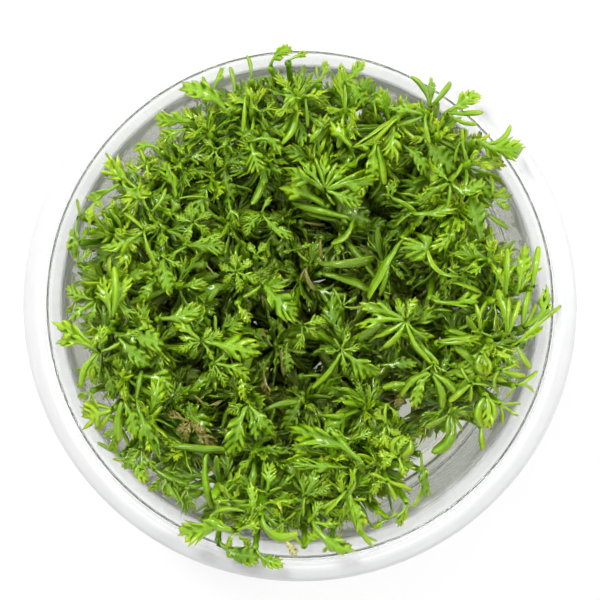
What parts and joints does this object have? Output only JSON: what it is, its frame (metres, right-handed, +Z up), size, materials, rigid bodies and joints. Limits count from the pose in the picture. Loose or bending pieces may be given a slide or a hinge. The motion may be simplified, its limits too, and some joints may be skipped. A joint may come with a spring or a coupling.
{
  "type": "tissue culture giant ambulia in a cup",
  "caption": "Clear round cup with a wide rim, holding nutrient jelly and a dense mound of young shoots with whorls of finely lobed bright green leaves.",
  "frame": {"origin": "centre of the cup's round foot, on the surface that it stands on", "axes": "+Z up out of the cup's mouth; +Y is the top of the picture, which looks straight down, and +X is its right"},
  "size_m": [0.1, 0.1, 0.0667],
  "materials": {
    "clear_plastic": "clear thin moulded plastic with a smooth shine",
    "agar_jelly": "clear wet jelly, faintly grey-green",
    "leaf_green": "fleshy wet leaves, bright lime at the tips and dark green below"
  },
  "bodies": {
    "root": {"cup": "clear_plastic", "nutrient_jelly": "agar_jelly", "shoot_01": "leaf_green", "shoot_02": "leaf_green", "shoot_03": "leaf_green", "shoot_04": "leaf_green", "shoot_05": "leaf_green", "shoot_06": "leaf_green", "shoot_07": "leaf_green", "shoot_08": "leaf_green", "shoot_09": "leaf_green", "shoot_10": "leaf_green", "shoot_11": "leaf_green", "shoot_12": "leaf_green", "shoot_13": "leaf_green", "shoot_14": "leaf_green", "shoot_15": "leaf_green", "shoot_16": "leaf_green", "shoot_17": "leaf_green", "shoot_18": "leaf_green", "shoot_19": "leaf_green", "shoot_20": "leaf_green", "shoot_21": "leaf_green", "shoot_22": "leaf_green", "shoot_23": "leaf_green", "shoot_24": "leaf_green", "shoot_25": "leaf_green", "shoot_26": "leaf_green", "shoot_27": "leaf_green", "shoot_28": "leaf_green", "shoot_29": "leaf_green", "shoot_30": "leaf_green", "shoot_31": "leaf_green", "shoot_32": "leaf_green", "shoot_33": "leaf_green", "shoot_34": "leaf_green", "shoot_35": "leaf_green", "shoot_36": "leaf_green", "shoot_37": "leaf_green", "shoot_38": "leaf_green", "shoot_39": "leaf_green", "shoot_40": "leaf_green", "shoot_41": "leaf_green", "shoot_42": "leaf_green", "shoot_43": "leaf_green", "shoot_44": "leaf_green", "shoot_45": "leaf_green", "shoot_46": "leaf_green", "shoot_47": "leaf_green", "shoot_48": "leaf_green", "shoot_49": "leaf_green", "shoot_50": "leaf_green", "shoot_51": "leaf_green", "shoot_52": "leaf_green"}
  },
  "joints": []
}
